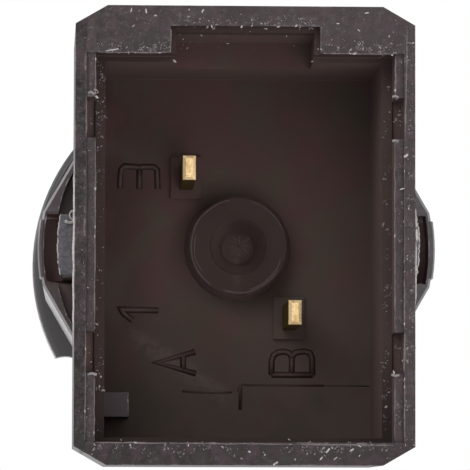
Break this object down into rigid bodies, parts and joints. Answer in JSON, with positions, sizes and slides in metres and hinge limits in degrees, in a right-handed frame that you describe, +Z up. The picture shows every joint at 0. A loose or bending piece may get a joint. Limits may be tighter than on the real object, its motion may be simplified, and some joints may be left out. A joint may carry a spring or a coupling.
{
  "type": "brake light switch",
  "caption": "Quarter-turn brake light switch: rectangular plug socket with contact blades, hexagonal casing, round flange, bayonet barrel and self-adjusting plunger.",
  "frame": {"origin": "on the barrel's axis, in the plane of the flange face that seats on the pedal bracket", "axes": "+Y along the barrel's axis towards the plunger's tip, -Y out of the connector's mouth, +Z up, towards the socket's latch channel, +X to the right when looking into the socket"},
  "size_m": [0.026, 0.063, 0.0272],
  "materials": {
    "shroud_plastic": "moulded, satin, with white dust specks and scuffs on the rim",
    "casing_plastic": "moulded, satin",
    "slider_plastic": "natural acetal, smooth",
    "blade_brass": "stamped, bright at the ends",
    "bridge_copper": "stamped, smooth",
    "contact_silver": "silver alloy, polished",
    "spring_steel": "drawn wire and strip"
  },
  "bodies": {
    "switch_body": {"connector_housing": "shroud_plastic", "switch_casing": "casing_plastic", "terminal_a3": "blade_brass", "terminal_b1": "blade_brass", "fixed_contact_a3": "contact_silver", "fixed_contact_b1": "contact_silver", "return_spring": "spring_steel"},
    "carrier": {"contact_carrier": "slider_plastic", "lock_clip": "spring_steel"},
    "bridge": {"contact_bridge": "bridge_copper", "bridge_contact_a3": "contact_silver", "bridge_contact_b1": "contact_silver", "contact_spring": "spring_steel"},
    "plunger": {"plunger_rod": "slider_plastic"}
  },
  "joints": [
    {"name": "plunger_slide", "type": "slide", "parent": "switch_body", "child": "carrier", "axis": [0, -1, 0], "range_m": [0, 0.005], "stiffness_N_per_m": 800, "springref_m": -0.006, "deforming": ["return_spring"]},
    {"name": "bridge_lift", "type": "slide", "parent": "switch_body", "child": "bridge", "axis": [0, -1, 0], "range_m": [0, 0.004], "deforming": ["contact_spring"]},
    {"name": "rod_adjust", "type": "slide", "parent": "carrier", "child": "plunger", "axis": [0, -1, 0], "range_m": [0, 0.006]}
  ],
  "couplings": [
    {"joint": "bridge_lift", "follows": "plunger_slide", "ratio": 0.8}
  ]
}
